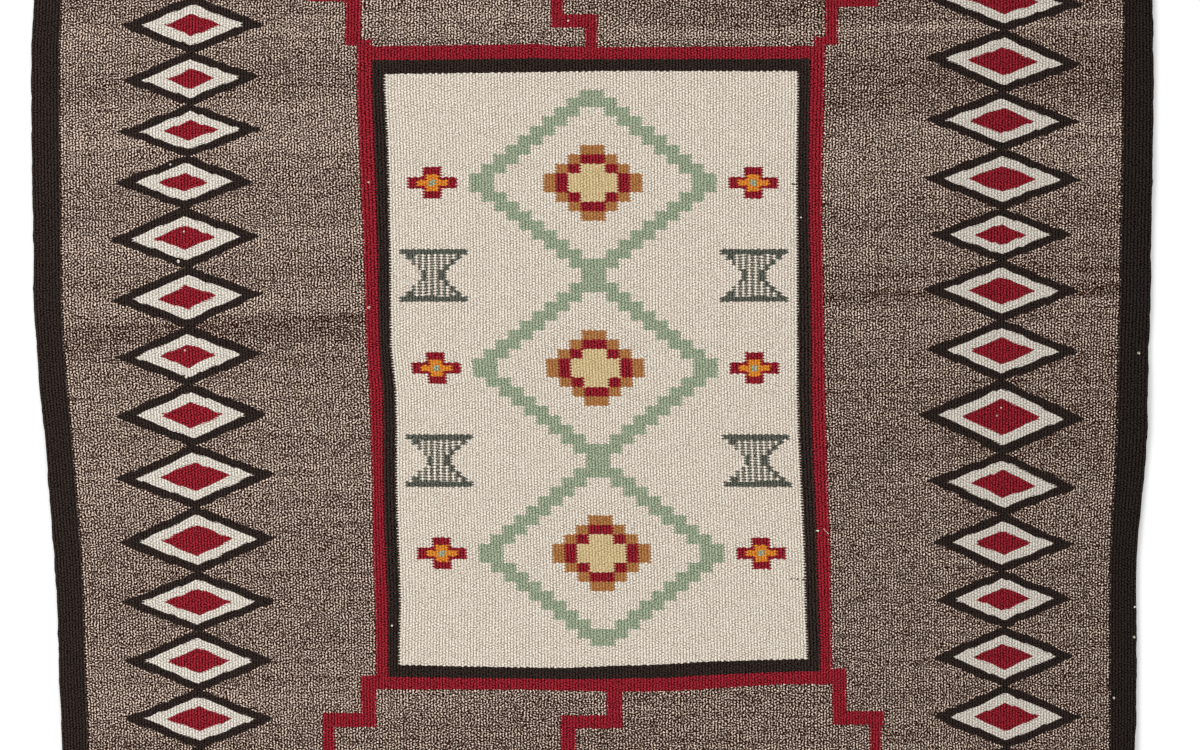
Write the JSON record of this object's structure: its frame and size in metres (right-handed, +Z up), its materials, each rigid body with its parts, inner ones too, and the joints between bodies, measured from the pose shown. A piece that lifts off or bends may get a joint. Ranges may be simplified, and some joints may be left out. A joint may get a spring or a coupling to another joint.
{
  "type": "woven rug",
  "caption": "Flat handwoven wool floor rug with dark side borders, two columns of nested diamonds on a heather ground and a framed cream centre panel.",
  "frame": {"origin": "middle of the rug's underside, at the bottom centre of its bounding box", "axes": "+Z up out of the rug's face, +Y along the warps towards the upper end, +X along the wefts"},
  "size_m": [1.0677, 1.5, 0.004],
  "materials": {
    "wool": "handspun wool in a close weft-faced weave: heather grey ground, near-black borders, cream, crimson and sage"
  },
  "bodies": {
    "root": {"rug_cloth": "wool"}
  },
  "joints": []
}
